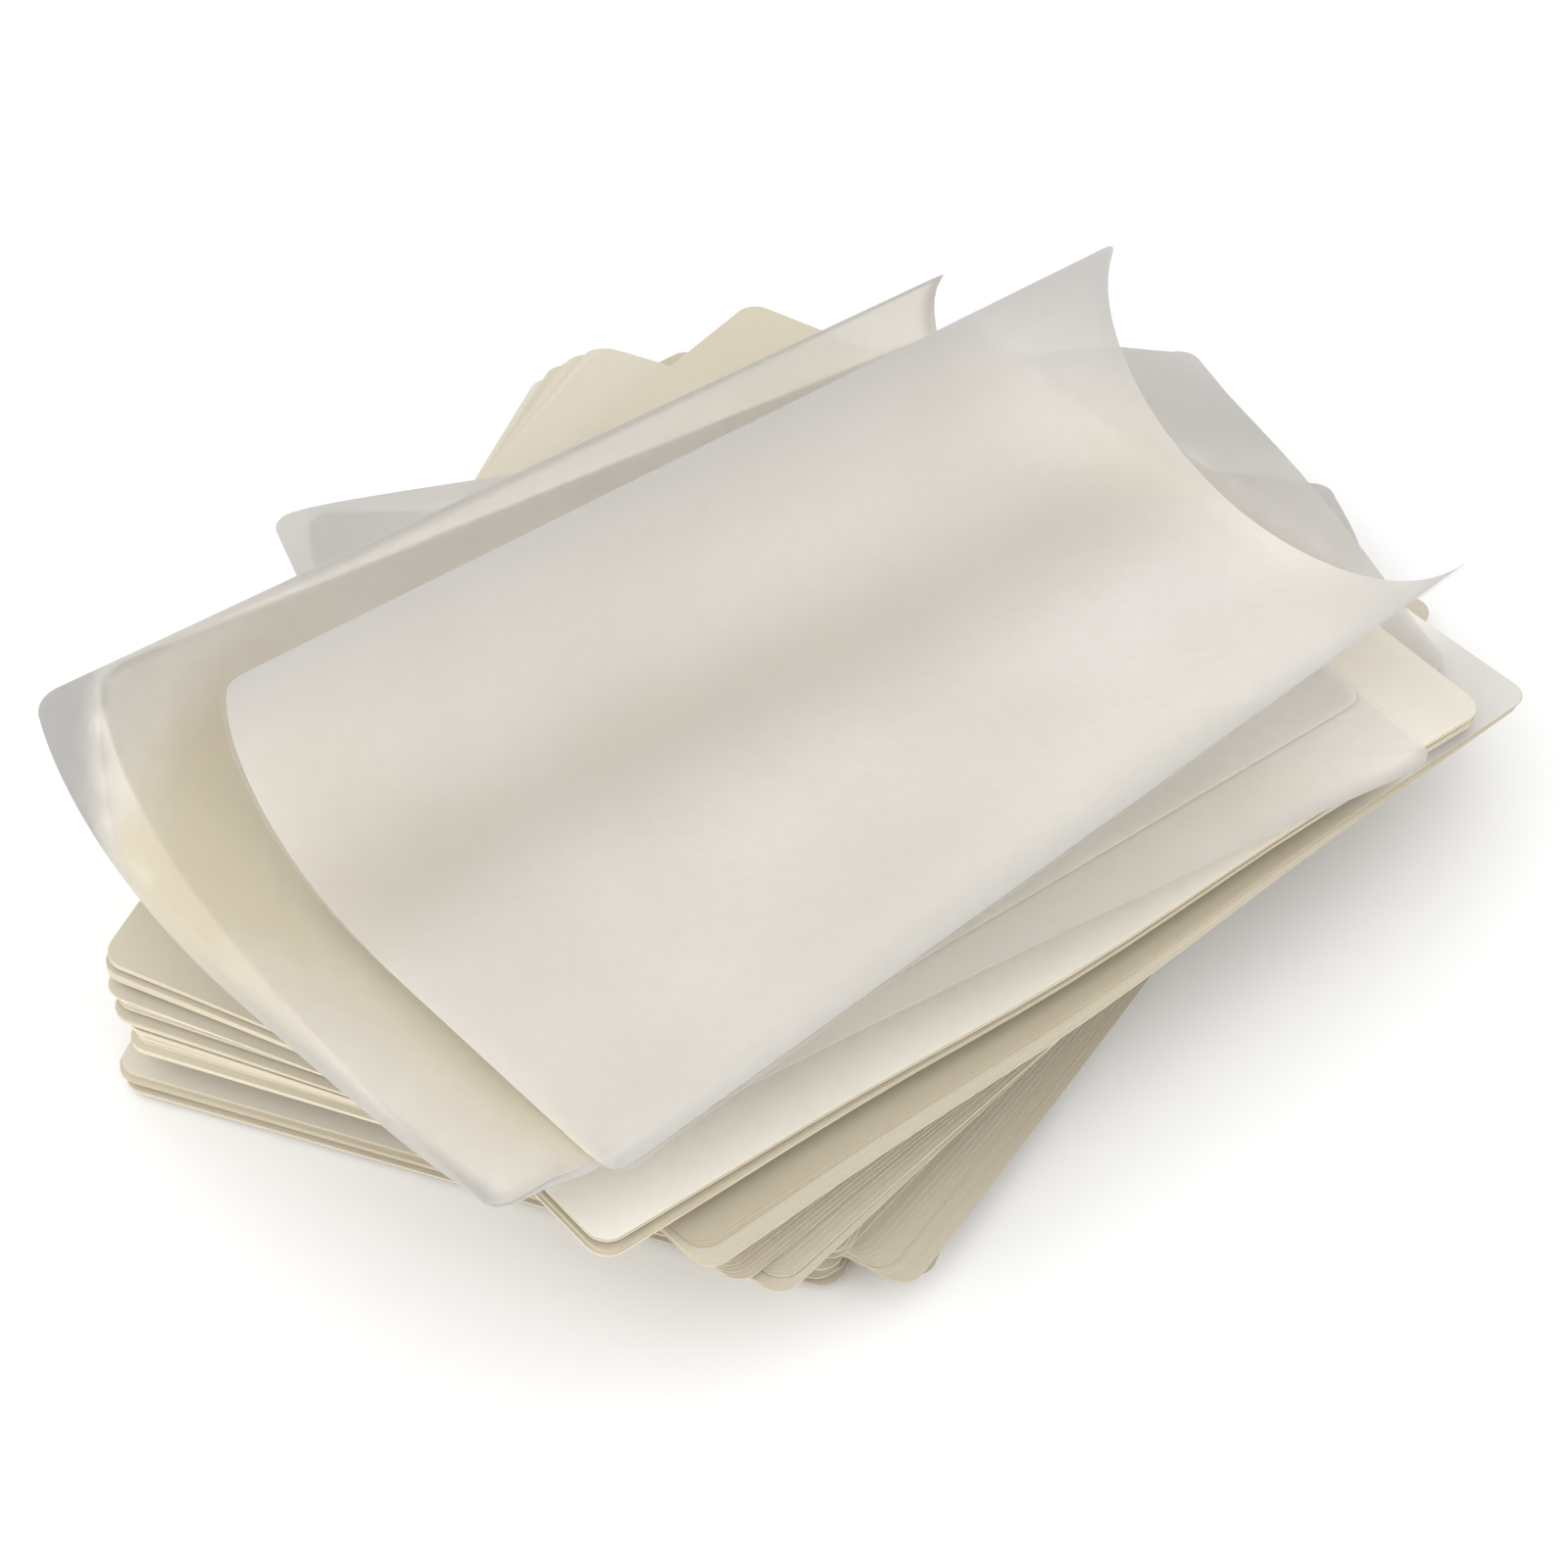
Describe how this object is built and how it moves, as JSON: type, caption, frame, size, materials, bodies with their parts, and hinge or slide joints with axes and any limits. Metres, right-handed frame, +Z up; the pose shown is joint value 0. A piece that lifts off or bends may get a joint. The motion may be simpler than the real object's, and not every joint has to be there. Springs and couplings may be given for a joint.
{
  "type": "pile of edible wafer paper",
  "caption": "Loose pile of thin, pale, round-cornered edible wafer sheets, fanned at different turns, with curled translucent single sheets lying on top.",
  "frame": {"origin": "centre of the pile's bounding box in plan, on the floor it rests on", "axes": "+Z up, the pile's thickness; +Y away from the viewer of the picture, +X to the viewer's right"},
  "size_m": [0.1164, 0.1178, 0.0396],
  "materials": {
    "wafer_bundle": "matt, cream where the cut edges lie close together",
    "wafer_leaf": "matt, translucent warm white single sheet"
  },
  "bodies": {
    "root": {"bundle_01": "wafer_bundle", "bundle_02": "wafer_bundle", "bundle_03": "wafer_bundle", "bundle_04": "wafer_bundle", "bundle_05": "wafer_bundle", "bundle_06": "wafer_bundle", "bundle_07": "wafer_bundle", "bundle_08": "wafer_bundle", "bundle_09": "wafer_bundle", "bundle_10": "wafer_bundle", "bundle_11": "wafer_bundle", "leaf_right": "wafer_leaf", "leaf_back": "wafer_leaf", "leaf_draped": "wafer_leaf", "leaf_lower": "wafer_leaf", "leaf_tucked": "wafer_leaf", "leaf_top": "wafer_leaf"}
  },
  "joints": []
}
